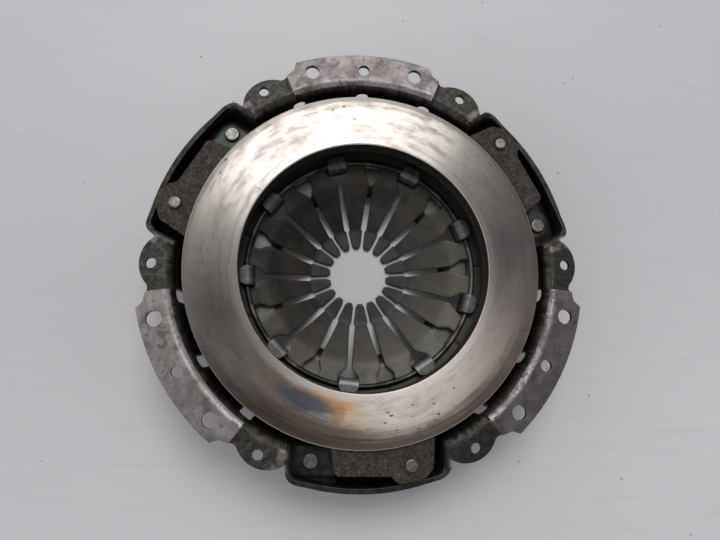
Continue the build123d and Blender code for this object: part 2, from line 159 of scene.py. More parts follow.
def rounded(corners, radii):
    """Points of a line through the corners, each inner corner rounded to its radius.

    A corner of half angle a is left at radius / tan(a) before it and met again as far after it; the arc
    between is drawn about the centre on the corner's bisector, radius / sin(a) away.
    """
    corners = np.asarray(corners, float)
    points = [corners[:1]]
    for before, corner, after, radius in zip(corners, corners[1:], corners[2:], radii):
        back, ahead = before - corner, after - corner
        back, ahead = back / np.hypot(*back), ahead / np.hypot(*ahead)
        half = np.arccos(np.clip(back @ ahead, -1, 1)) / 2
        middle = (back + ahead) / np.hypot(*(back + ahead))
        centre = corner + middle * radius / np.sin(half)
        start = corner + back * radius / np.tan(half) - centre
        end = corner + ahead * radius / np.tan(half) - centre
        sweep = np.arctan2(start[0] * end[1] - start[1] * end[0], start @ end)
        turn = np.linspace(0, sweep, ARC_POINTS)
        cos, sin = np.cos(turn)[:, None], np.sin(turn)[:, None]
        points.append(centre + start * cos + np.array([-start[1], start[0]]) * sin)
    points.append(corners[-1:])
    return np.concatenate(points)


def grid_faces(rows, columns):
    """Quads of a grid whose points are numbered row by row, the last column joined to the first."""
    row, column = np.meshgrid(np.arange(rows - 1), np.arange(columns), indexing="ij")
    first, beside = row * columns, (column + 1) % columns
    corners = [first + column, first + beside, first + columns + beside, first + columns + column]
    return np.stack(corners, axis=-1).reshape(-1, 4)


def new_piece(name, grids, material):
    """A mesh from grids of points in millimetres, welded where they meet.

    Each grid is closed along its rows and may mark points of a seam, between which no face is made.
    """
    points, faces, first = [], [], 0
    for grid, seam in grids:
        rows, columns = grid.shape[:2]
        quads = grid_faces(rows, columns)
        points.append(grid.reshape(-1, 3))
        faces.append(first + quads[~seam.reshape(-1)[quads].all(axis=1)])
        first += rows * columns
    mesh = bpy.data.meshes.new(name)
    mesh.from_pydata(np.concatenate(points) * MM, [], np.concatenate(faces).tolist())
    shell = bmesh.new()
    shell.from_mesh(mesh)
    bmesh.ops.remove_doubles(shell, verts=shell.verts, dist=WELD * MM)
    bmesh.ops.dissolve_degenerate(shell, edges=shell.edges, dist=WELD * MM)
    loose = [point for point in shell.verts if not point.link_faces]
    bmesh.ops.delete(shell, geom=loose, context="VERTS")
    bmesh.ops.recalc_face_normals(shell, faces=shell.faces)
    shell.to_mesh(mesh)
    shell.free()
    mesh.shade_smooth()
    mesh.set_sharp_from_angle(angle=SHARP)
    mesh.materials.append(material)
    piece = bpy.data.objects.new(name, mesh)
    bpy.context.scene.collection.objects.link(piece)
    return piece


def offset_line(corners, distance):
    """The corners of a line moved to its left by a distance: each corner goes along the sum of its two
    normals, divided by one plus their product."""
    corners = np.asarray(corners, float)
    runs = np.diff(corners, axis=0)
    normals = np.stack([-runs[:, 1], runs[:, 0]], axis=1) / np.hypot(*runs.T)[:, None]
    before, after = normals[[0, *range(len(normals))]], normals[[*range(len(normals)), -1]]
    share = 1 + (before * after).sum(axis=1, keepdims=True)
    return corners + distance * (before + after) / share


def spring_height(radius, depth):
    """Height of the spring at a radius: a cone, a bend down, a slope, a bend back and flat finger ends.

    The upper and lower faces are two lines with rounded corners, a sheet apart; depth goes from 0 on the
    upper to 1 on the lower.
    """
    upper = [
        (SPRING_R, SPRING_TOP_Z + (SPRING_R - FULCRUM_R) * SPRING_SLOPE),
        (FINGER_BEND_R, SPRING_TOP_Z - (FULCRUM_R - FINGER_BEND_R) * SPRING_SLOPE),
        (FINGER_FLAT_R, FINGER_TIP_TOP_Z),
        (FINGER_TIP_R, FINGER_TIP_TOP_Z),
    ]
    lower = offset_line(upper, SPRING_SHEET)
    over = rounded(upper, [FINGER_BEND, FINGER_FLAT_BEND])[::-1]
    under = rounded(lower, [FINGER_BEND - SPRING_SHEET, FINGER_FLAT_BEND + SPRING_SHEET])[::-1]
    high, low = np.interp(radius, *over.T), np.interp(radius, *under.T)
    return high + (low - high) * depth


def gap_side(window_half):
    """One side of the gap between two fingers, as points (distance from the axis, half width).

    It narrows from the flared tips to a slot, widens past the flat ends, draws in to a waist and opens
    into the window.
    """
    tips = [(FINGER_TIP_R + 0.21, 1.705), (20.3, 0.9), (30.2, 0.9)]
    slot = [(FINGER_FLAT_R, 1.9), (44.0, 1.8), (53.0, 1.35), (58.5, 1.5)]
    window = [(63.6, window_half), (FINGER_ROOT_R, window_half)]
    return rounded(tips + slot + window, [2.0, 0.4, 0.4, 10.0, 10.0, 2.5, 2.5])


def window_head(window_half):
    """The outer end of the window, from its side round to its middle, and on outwards to the rim."""
    head = rounded([(FINGER_ROOT_R, window_half), (WINDOW_TOP_R, window_half), (WINDOW_TOP_R, 0)], [2.5])
    outwards = [(radius, 0) for radius in (*RIM_ROWS, SPRING_R - CAP[-1][0])]
    return np.concatenate([head, outwards])


def straight(steps, mean):
    """A finger's rows run straight across: their middles lie at the mean of both ends' radii."""
    return mean


def bowed(steps, mean):
    """The rim's rows bow outwards round the windows, at least to a line through three radii: at the
    fingers' roots, at the windows' tops and two steps past them."""
    top = ARC_POINTS + 1
    return np.maximum(mean, np.interp(steps, [0, top, top + 2], [FINGER_ROOT_R, 71.8, RIM_ROWS[1]]))


def spring_leaf(finger, side, bulge, inner_cap, outer_cap):
    """One finger or one length of the rim, as a closed loop carried outwards.

    Row by row the loop runs between a point on the gap before it and one on the gap behind it, both
    turned to their own directions; across, the angle and the radius go evenly from one to the other, and
    the radius swells on a parabola to the bulge in the middle. Down each wall the corners are rounded,
    and each end closes on the rows of its cap.
    """
    halves = (TAB_WINDOW_HALF, WINDOW_HALF) if finger % 2 == 0 else (WINDOW_HALF, TAB_WINDOW_HALF)
    lines = [side(half) for half in halves]
    gaps = np.hypot(*np.diff(lines[0], axis=0).T)
    counts = np.maximum(1, np.ceil(gaps / ROW_GAP)).astype(int)
    steps = np.concatenate([i + np.arange(n) / n for i, n in enumerate(counts)] + [[len(gaps) * 1.0]])
    (x1, g1), (x2, g2) = (
        [np.interp(steps, np.arange(len(line)), axis) for axis in line.T] for line in lines
    )
    start = np.radians(FIRST_TAB + finger * FINGER_ANGLE)
    turn_1, turn_2 = start + np.arctan2(g1, x1), start + np.radians(FINGER_ANGLE) - np.arctan2(g2, x2)
    radius_1, radius_2 = np.hypot(x1, g1), np.hypot(x2, g2)
    edge = STAMPED_EDGE / SPRING_SHEET
    over = np.linspace(0, 1, OVER_POINTS)
    wall = np.array([MID_ROUND, 1.0, 1 / edge - 1, 1 / edge - MID_ROUND]) * edge
    wall_inset = np.array([MID_ROUND, 0, 0, MID_ROUND])
    across = np.concatenate([over, wall * 0 + 1, over[::-1], wall * 0])
    depth = np.concatenate([over * 0, wall, over * 0 + 1, wall[::-1]])
    inset = np.concatenate([1 - 2 * over, -wall_inset, 1 - 2 * over[::-1], wall_inset])
    mean = (radius_1 + radius_2) / 2
    radius = radius_1[:, None] * (1 - across) + radius_2[:, None] * across
    radius = radius + (bulge(steps, mean) - mean)[:, None] * 4 * across * (1 - across)
    angle = turn_1[:, None] * (1 - across) + turn_2[:, None] * across + STAMPED_EDGE * inset / radius
    inner = [(radius[0] - out, angle[0], 0.5 + (depth - 0.5) * share) for out, share in inner_cap[::-1]]
    outer = [(radius[-1] + out, angle[-1], 0.5 + (depth - 0.5) * share) for out, share in outer_cap]
    rows = [*inner, *zip(radius, angle, [depth] * len(radius)), *outer]
    radius, angle, depth = (np.array(part) for part in zip(*rows))
    height = spring_height(radius, depth)
    square = np.clip((radius - LEAN_R) / (SPRING_R - LEAN_R), 0, 1)
    radius = radius + depth * SPRING_SHEET * np.sin(CONE_ANGLE) * square
    points = np.stack([radius * np.cos(angle), radius * np.sin(angle), height], axis=-1)
    return points, np.zeros(radius.shape, bool)


def compass(turn):
    """Unit vectors that point outwards and forwards at a direction round the axis."""
    cos, sin = np.cos(turn), np.sin(turn)
    return np.array([cos, sin, 0]), np.array([-sin, cos, 0])


def strap_top(along):
    """Height of the strap's upper face along it: flat to the first bend, up on one arc, over on its
    opposite, and flat again.

    Each arc starts level and rises by half the step over its run, so its radius is
    (run squared + rise squared) / (2 rise).
    """
    run, rise = STRAP_FLAT, STRAP_RISE / 2
    arc = (run**2 + rise**2) / (2 * rise)
    first = arc - np.sqrt(arc**2 - np.clip(along + run, 0, run) ** 2)
    second = arc - np.sqrt(arc**2 - np.clip(run - along, 0, run) ** 2)
    return np.where(along < 0, first, STRAP_RISE - second)


def clamped_end(end, inset):
    """The outline of a strap's clamped end round its rivet hole, inset by a margin, hole at the origin.

    The first points run along the line where the end meets the bent middle; the rest are where rays from
    the hole meet a rectangle with two rounded corners: the nearer of the two sides' distances, or the far
    root of the corner circle's equation past the corner.
    """
    half, far, corner = STRAP_WIDTH / 2 - inset, end - inset, STRAP_CORNER - inset
    seam = np.stack([np.full(CROSSINGS, -STRAP_CLAMPED), np.linspace(half, -half, CROSSINGS)], axis=1)
    first = np.arctan2(-half, -STRAP_CLAMPED)
    ray = np.linspace(first, -first, FAN_RAYS + 2)[1:-1]
    cos, sin = np.cos(ray), np.sin(ray)
    reach = np.minimum(half / np.maximum(np.abs(sin), TINY), far / np.maximum(cos, TINY))
    x, y = reach * cos, np.abs(reach * sin)
    past = (x > far - corner) & (y > half - corner)
    centre = np.array([far - corner, half - corner])
    along = centre[0] * cos + centre[1] * np.abs(sin)
    root = along + np.sqrt(np.maximum(along**2 - centre @ centre + corner**2, 0))
    reach = np.where(past, root, reach)
    return np.concatenate([seam, np.stack([reach * cos, reach * sin], axis=1)])


def strap_leaf(layer, direction):
    """Grids of one leaf: two clamped ends and the bent middle between them.

    Each end is a fan of rows from the wall of its rivet hole out over the upper face, down the outer wall
    and back under; the middle is one closed loop round the section, carried along the two arcs. A point
    at a depth lies that far from the upper face along the face's normal.
    """
    soft = LEAF_EDGE
    wall = [(soft, 0), (MID_ROUND * soft, MID_ROUND * soft), (0, soft)]
    wall += [(inset, LEAF - depth) for inset, depth in wall[::-1]]
    outlines = [clamped_end(STRAP_END - (LEAVES - 1 - layer) * LEAF_STEP, inset) for inset, _ in wall]
    turn = np.arctan2(outlines[2][:, 1], outlines[2][:, 0])
    circle = np.stack([np.cos(turn), np.sin(turn)], axis=1)
    rim = circle * (RIVET_HOLE_R + soft)
    rows = [(circle * RIVET_HOLE_R, LEAF / 2), (circle * RIVET_HOLE_R, soft)]
    rows += [(rim + (outlines[0] - rim) * share, 0) for share in FAN_SHARES]
    rows += [(outline, depth) for outline, (_, depth) in zip(outlines, wall)]
    rows += [(rim + (outlines[-1] - rim) * share, LEAF) for share in FAN_SHARES[::-1]]
    rows += [(circle * RIVET_HOLE_R, LEAF - soft), (circle * RIVET_HOLE_R, LEAF / 2)]
    fan = np.stack([row for row, _ in rows])
    fan_depth = np.stack([np.full(len(row), depth) for row, depth in rows])
    over = np.linspace(1, -1, CROSSINGS) * (STRAP_WIDTH / 2 - soft)
    side = np.array([STRAP_WIDTH / 2 - inset for inset, _ in wall[1:-1]])
    down = np.array([depth for _, depth in wall[1:-1]])
    across = np.concatenate([over, -side, over[::-1], side[::-1]])
    section = np.concatenate([over * 0, down, over * 0 + LEAF, down[::-1]])
    along, across = np.meshgrid(np.linspace(-STRAP_FLAT, STRAP_FLAT, LEAF_ROWS), across, indexing="ij")
    parts = [(along, across, np.broadcast_to(section, along.shape))]
    for end in (-1, 1):
        parts.append((end * (RIVET_SPAN + fan[..., 0]), fan[..., 1], fan_depth))
    outwards, forwards = compass(direction)
    grids = []
    for along, across, depth in parts:
        slope = (strap_top(along + SLOPE_STEP) - strap_top(along - SLOPE_STEP)) / (2 * SLOPE_STEP)
        deep = depth / np.sqrt(1 + slope**2)
        height = STRAP_TOP_Z - layer * (LEAF + TOUCH) + strap_top(along) - deep
        points = outwards * (STRAP_AXIS_R + across)[..., None]
        points = points + forwards * (along + slope * deep)[..., None]
        points[..., 2] = height
        on_seam = np.abs(np.abs(along) - STRAP_FLAT) < WELD
        grids.append((points, on_seam))
    return grids


# Finishes -----------------------------


class Finish:
    """A node material built in words: every place is in millimetres on the piece's Object coordinates."""

    def __init__(self, name, **uniform):
        self.material = bpy.data.materials.new(name)
        self.material.use_nodes = True
        self.tree = self.material.node_tree
        self.shader = self.tree.nodes["Principled BSDF"]
        for socket, value in uniform.items():
            self.shader.inputs[socket.title()].default_value = value
        coordinates = self.tree.nodes.new("ShaderNodeTexCoord")
        self.place = self.vector("SCALE", coordinates.outputs["Object"], Scale=1 / MM)
        split = self.node("SeparateXYZ", {0: self.place})
        self.x, self.y, self.z = split.outputs
        flat = self.node("CombineXYZ", {0: self.x, 1: self.y})
        self.radius = self.vector("LENGTH", flat.outputs[0], output="Value")
        self.heading = self.vector("NORMALIZE", flat.outputs[0])

    def node(self, kind, inputs=(), **settings):
        made = self.tree.nodes.new("ShaderNode" + kind)
        for key, value in settings.items():
            setattr(made, key, value)
        for key, value in dict(inputs).items():
            if isinstance(value, bpy.types.NodeSocket):
                self.tree.links.new(value, made.inputs[key])
            else:
                made.inputs[key].default_value = value
        return made

    def vector(self, operation, a, b=(0, 0, 0), output="Vector", **more):
        return self.node("VectorMath", {0: a, 1: b, **more}, operation=operation).outputs[output]

    def math(self, operation, a, b=0.0, c=0.0):
        return self.node("Math", {0: a, 1: b, 2: c}, operation=operation).outputs[0]

    def times_plus(self, value, factor, more):
        """A value times a factor, plus one more."""
        return self.math("MULTIPLY_ADD", value, factor, more)

    def all_of(self, *shares):
        """The product of several shares."""
        whole = shares[0]
        for share in shares[1:]:
            whole = self.math("MULTIPLY", whole, share)
        return whole

    def any_of(self, *shares):
        """The largest of several shares."""
        whole = shares[0]
        for share in shares[1:]:
            whole = self.math("MAXIMUM", whole, share)
        return whole

    def fade(self, value, start, end):
        """0 before start, 1 after end, with a smooth step between."""
        inputs = {0: value, 1: start, 2: end, 3: 0.0, 4: 1.0}
        return self.node("MapRange", inputs, interpolation_type="SMOOTHSTEP").outputs[0]

    def between(self, value, low, high, soft):
        """1 inside a band and 0 outside it, over a soft edge."""
        rise = self.fade(value, low - soft, low + soft)
        fall = self.fade(value, high + soft, high - soft)
        return self.all_of(rise, fall)

    def noise(self, size, detail=3.0, rough=0.55, where=None, shift=0.0, bend=0.0):
        """Cloudy noise with cells of about the given size; each shift gives another one."""
        where = self.place if where is None else where
        if shift:
            where = self.vector("ADD", where, (shift, shift * 1.7, shift * 0.6))
        inputs = {"Vector": where, "Scale": 1 / size, "Detail": detail, "Roughness": rough}
        return self.node("TexNoise", {**inputs, "Distortion": bend}).outputs[0]

    def cells(self, size, where=None, shift=0.0, feature="F1"):
        """Distance to the nearest of scattered points, or to the border between two."""
        where = self.place if where is None else where
        if shift:
            where = self.vector("ADD", where, (shift, shift * 1.3, shift * 0.7))
        inputs = {"Vector": where, "Scale": 1 / size}
        return self.node("TexVoronoi", inputs, feature=feature).outputs["Distance"]

    def round_the_axis(self, across, along, at=86.0):
        """Coordinates that run round the axis, with cells of one size across and another along."""
        out = self.math("MULTIPLY", self.radius, 1 / across)
        turn = self.vector("SCALE", self.heading, Scale=at / along)
        parts = self.node("SeparateXYZ", {0: turn})
        return self.node("CombineXYZ", {0: out, 1: parts.outputs[0], 2: parts.outputs[1]}).outputs[0]

    def spot(self, radius, angle, across, along, soft, ragged=None):
        """1 inside an oval drawn round the axis and 0 outside it.

        How far out a point lies, as a share of the oval's two half lengths, is the root of the sum of two
        squares; a ragged value added to it frays the edge.
        """
        turn = np.radians(angle)
        beside = self.vector("DISTANCE", self.heading, (np.cos(turn), np.sin(turn), 0), output="Value")
        beside = self.math("MULTIPLY", beside, radius / along)
        above = self.math("MULTIPLY", self.math("SUBTRACT", self.radius, radius), 1 / across)
        squares = [self.math("MULTIPLY", part, part) for part in (beside, above)]
        away = self.math("SQRT", self.math("ADD", *squares))
        if ragged is not None:
            away = self.math("ADD", away, ragged)
        return self.fade(away, 1 + soft, 1 - soft)

    def nearest_cosine(self, directions):
        """The cosine of the angle between a point's heading and the nearest of some directions."""
        ways = [(np.cos(turn), np.sin(turn), 0) for turn in np.radians(directions)]
        cosines = [self.vector("DOT_PRODUCT", self.heading, way, output="Value") for way in ways]
        return self.any_of(*cosines)

    def mix(self, share, first, second):
        """A colour that goes from first to second as the share goes from 0 to 1."""
        made = self.node("Mix", {0: share}, data_type="RGBA")
        for index, colour in ((6, first), (7, second)):
            if isinstance(colour, bpy.types.NodeSocket):
                self.tree.links.new(colour, made.inputs[index])
            else:
                made.inputs[index].default_value = (*colour, 1)
        return made.outputs[2]

    def stain(self, under, colour, amount, *shares):
        """A colour laid over another by an amount, where all the shares are 1."""
        return self.mix(self.all_of(*shares, amount), under, colour)

    def level(self, share, first, second):
        """A number that goes from first to second as the share goes from 0 to 1."""
        return self.node("Mix", {0: share, 2: first, 3: second}, data_type="FLOAT").outputs[0]

    def bump(self, height, depth, over=None):
        """The normal of a surface that the height raises by a depth in millimetres."""
        inputs = {"Height": height, "Distance": depth * MM, "Strength": 1.0}
        if over is not None:
            inputs["Normal"] = over
        return self.node("Bump", inputs).outputs[0]

    def rounded(self, reach):
        """The normal of the surface with its edges rounded over."""
        return self.node("Bevel", {"Radius": reach * MM}, samples=4).outputs[0]

    def edge_wear(self, reach):
        """1 on rubbed edges, where the rounded normal leans away from the flat one."""
        flat = self.node("NewGeometry").outputs["True Normal"]
        cosine = self.vector("DOT_PRODUCT", self.rounded(reach), flat, output="Value")
        return self.fade(cosine, 0.99, 0.8)

    def facing_up(self):
        """1 where the surface faces the flywheel and 0 where it stands upright or turns away."""
        parts = self.node("SeparateXYZ", {0: self.node("NewGeometry").outputs["Normal"]})
        return self.fade(parts.outputs[2], 0.35, 0.85)

    def finish(self, colour, normal, **others):
        """The material, with its colour, its normal and any other sockets joined to the shader."""
        for socket, value in {"Base Color": colour, "Normal": normal, **others}.items():
            self.tree.links.new(value, self.shader.inputs[socket])
        return self.material


# Colour, amount, and an oval: its radius, angle, half width, half length and softness
HEAT_TINTS = (
    ((0.4, 0.3, 0.17), 0.5, (85, -96.5, 8, 9, 0.6)),  # straw
    ((0.38, 0.2, 0.07), 0.8, (78.5, -107, 4.2, 16, 0.45)),  # orange
    ((0.25, 0.14, 0.055), 0.7, (84, -101.5, 5.5, 4, 0.45)),  # light brown
    ((0.17, 0.09, 0.055), 0.5, (81.5, -129, 5, 9, 0.6)),  # brown
    ((0.055, 0.06, 0.08), 0.92, (82, -114.5, 5.2, 17, 0.5)),  # scorched blue
    ((0.06, 0.044, 0.036), 0.85, (94, -112, 7, 38, 0.5)),  # burnt brown outside the blue
    ((0.12, 0.09, 0.14), 0.4, (84, 8, 9, 13, 0.7)),  # faint violet
    ((0.1, 0.1, 0.075), 0.4, (86, -163, 9, 15, 0.8)),  # faint olive
)
MARGIN_R = 76.6  # inside this no facing touches the plate


def turned_and_cast_iron(colours):
    """The pressure plate: a turned, worn and heat-tinted face on a rough sand casting.

    The turning stretches every reflection across its grooves. Stains, painted shade towards +X, a brown
    veil, heat tints, pits, cracks and the paler margin inside are laid over the turned metal one after
    another.
    """
    iron = Finish("turned_and_cast_iron", anisotropic=1.0)
    face = iron.fade(iron.z, FACE_Z - 0.65, FACE_Z - 0.35)
    grooves = iron.noise(1, 3, 0.7, where=iron.round_the_axis(0.35, 46))
    bands = iron.noise(1, 4, 0.6, where=iron.round_the_axis(1.1, 55))
    clouds = iron.noise(15, 5, 0.6, bend=0.7)
    grime = iron.noise(1, 6, 0.65, where=iron.round_the_axis(4.5, 15), shift=3)
    bright = iron.times_plus(bands, 0.4, iron.math("MULTIPLY", clouds, 0.6))
    metal = iron.mix(iron.fade(bright, 0.2, 0.6), colours.plate_dark, colours.plate_bright)
    metal = iron.stain(metal, (0.17, 0.125, 0.1), 0.3, iron.fade(grime, 0.52, 0.7))
    # Painted shade: the turned face is darker towards +X and a little towards -Y, dimming its reflection
    # there.
    rightwards = iron.times_plus(clouds, 20, iron.times_plus(iron.y, -0.25, iron.x))
    metal = iron.stain(metal, (0.16, 0.128, 0.118), 0.6, iron.fade(rightwards, 55, 100))
    # A brown veil over the worn outer edge, broad on the -Y side and faint elsewhere.
    low_side = iron.fade(iron.times_plus(clouds, 30, iron.y), 45, -70)
    streaked = iron.times_plus(clouds, 10, iron.math("MULTIPLY", bands, 14))
    streaked = iron.math("ADD", streaked, iron.radius)
    broad = iron.all_of(iron.fade(streaked, 99, 110), low_side)
    narrow = iron.all_of(iron.fade(streaked, 108, 113), 0.5)
    veil = iron.any_of(broad, iron.all_of(iron.spot(88, -146, 20, 58, 0.7), 0.66), narrow)
    metal = iron.stain(metal, (0.048, 0.034, 0.027), 0.9, veil)
    ragged = iron.times_plus(iron.noise(1, 5, 0.6, where=iron.round_the_axis(2.0, 8)), 0.8, -0.4)
    for tint, amount, oval in HEAT_TINTS:
        metal = iron.stain(metal, tint, amount, iron.spot(*oval, ragged))
    # Pits in three places, a crack at the bore, and faint hairlines with one longer crack.
    pit_field = iron.cells(1, shift=11, where=iron.round_the_axis(3.2, 6.5))
    patches = iron.fade(iron.noise(22, 1, shift=40), 0.64, 0.7)
    pitted = iron.any_of(iron.spot(86, -72, 10, 30, 0.3), iron.spot(93, 97, 6, 18, 0.3), patches)
    sizes = iron.noise(4, 2, shift=61)
    pits = iron.all_of(iron.fade(iron.times_plus(sizes, -0.4, pit_field), 0.0, -0.1), pitted)
    pits = iron.any_of(pits, iron.spot(73.6, 144.7, 3.2, 0.3, 0.4))
    net = iron.cells(9, where=iron.vector("ADD", iron.place, (0, 0, 40)), feature="DISTANCE_TO_EDGE")
    hairlines = iron.all_of(iron.fade(net, 0.016, 0.006), iron.fade(iron.noise(5, 2, shift=9), 0.6, 0.66))
    crack = iron.all_of(iron.spot(93.5, -116, 4.5, 0.5, 0.6), 0.5)
    faint = iron.all_of(iron.any_of(hairlines, crack), 0.5)
    metal = iron.stain(metal, (0.04, 0.03, 0.025), 0.85, iron.any_of(pits, faint))
    # The paler margin, with a broken line at its outer edge and a finer one inside it, and bright rims.
    margin = iron.between(iron.radius, BORE_R + 0.3, MARGIN_R, 0.25)
    metal = iron.stain(metal, (0.5, 0.45, 0.43), 0.35, margin)
    wander = iron.times_plus(grime, 0.9, iron.radius)
    edge_line = iron.between(wander, MARGIN_R - 0.2, MARGIN_R + 0.2, 0.3)
    fine_line = iron.between(wander, MARGIN_R - 1.1, MARGIN_R - 0.9, 0.25)
    broken = iron.fade(clouds, 0.38, 0.56)
    metal = iron.stain(metal, (0.09, 0.07, 0.065), 0.7, iron.any_of(edge_line, fine_line), broken)
    bore_rim = iron.fade(iron.radius, BORE_R + 0.7, BORE_R + 0.3)
    outer_rim = iron.fade(iron.radius, FACE_R - 0.8, FACE_R - 0.4)
    metal = iron.stain(metal, (0.62, 0.56, 0.52), 0.5, iron.any_of(bore_rim, outer_rim))
    # The casting: lumps and pale flecks, a painted highlight on the crests of its wrinkled folds, and
    # painted shade underneath and in the bore.
    sand = iron.noise(0.8, 4, 0.72)
    lumps = iron.noise(3.4, 5, 0.66, shift=7, bend=1.6)
    flecks = iron.fade(iron.noise(1.9, 3, 0.6, shift=21, bend=1.2), 0.52, 0.64)
    cast = iron.mix(iron.fade(lumps, 0.4, 0.6), (0.011, 0.009, 0.007), (0.054, 0.041, 0.033))
    cast = iron.stain(cast, (0.13, 0.105, 0.087), 0.45, flecks)
    folds = iron.math("SUBTRACT", iron.noise(3.2, 2, 0.5, shift=47, bend=2.2), 0.5)
    folds = iron.fade(iron.math("ABSOLUTE", folds), 0.07, 0.015)
    wrinkles_and_highlights = iron.all_of(folds, iron.fade(iron.noise(6, 3, shift=53), 0.4, 0.54))
    # Painted highlight: the crests of the wrinkled folds are pale, as if they catch the light; the same
    # folds are also raised in the bump.
    cast = iron.stain(cast, (0.19, 0.155, 0.132), 0.6, wrinkles_and_highlights)
    # Painted shade: the casting darkens below Z -11 mm and in the bore.
    cast = iron.stain(cast, (0.012, 0.011, 0.009), 0.75, iron.fade(iron.z, -11, -15))
    bore = iron.all_of(iron.fade(iron.radius, BORE_R + 1.0, BORE_R + 0.2), iron.fade(iron.z, -14, -10))
    cast = iron.stain(cast, (0.012, 0.01, 0.008), 0.92, bore)
    colour = iron.mix(face, cast, metal)
    roughness = iron.level(iron.fade(grime, 0.4, 0.7), 0.28, 0.38)
    roughness = iron.level(face, 0.72, iron.level(veil, roughness, 0.5))
    turned = iron.times_plus(grooves, 0.035, iron.math("MULTIPLY", pits, -0.05))
    rough = iron.times_plus(lumps, 1.9, iron.times_plus(sand, 0.7, wrinkles_and_highlights))
    normal = iron.bump(iron.level(face, rough, turned), 0.55, over=iron.rounded(0.45))
    metallic = iron.level(face, 0.15, 1.0)
    return iron.finish(colour, normal, Roughness=roughness, Metallic=metallic, Tangent=iron.heading)


